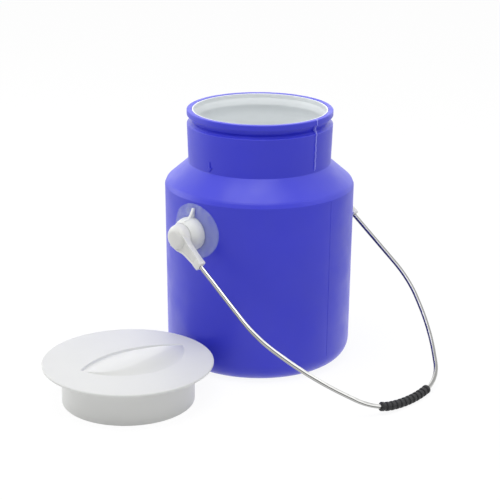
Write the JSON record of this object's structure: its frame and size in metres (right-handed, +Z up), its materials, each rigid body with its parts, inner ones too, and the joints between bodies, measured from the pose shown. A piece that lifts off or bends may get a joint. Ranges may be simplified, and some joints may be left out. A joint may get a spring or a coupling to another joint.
{
  "type": "plastic milk can",
  "caption": "Insulated plastic milk can with a wide neck, white liner, wire bail with ribbed grip, and its plug lid standing beside it.",
  "frame": {"origin": "centre of the can's flat base, on the surface that the can stands on", "axes": "+Z up along the can's axis; +X along the line through the two ears, away from the lid that stands beside the can; the bail lies towards -Y"},
  "size_m": [0.3423, 0.2685, 0.23],
  "materials": {
    "blue_shell": "satin blow-moulded blue plastic",
    "white_liner": "smooth white plastic",
    "milky_ear": "natural milky plastic, thin disc see-through",
    "white_lid": "satin white plastic",
    "bright_wire": "bright drawn steel wire",
    "black_grip": "soft black sleeve",
    "white_fitting": "white moulded plastic"
  },
  "bodies": {
    "can": {"outer_shell": "blue_shell", "inner_liner": "white_liner", "ear_left": "milky_ear", "ear_right": "milky_ear", "lid": "white_lid"},
    "bail": {"bail_wire": "bright_wire", "bail_grip": "black_grip", "bail_end_left": "white_fitting", "bail_end_right": "white_fitting"}
  },
  "joints": [
    {"name": "bail_swing", "type": "hinge", "parent": "can", "child": "bail", "pos_m": [0, 0, 0.1335], "axis": [-1, 0, 0], "range_deg": [0, 251]}
  ]
}
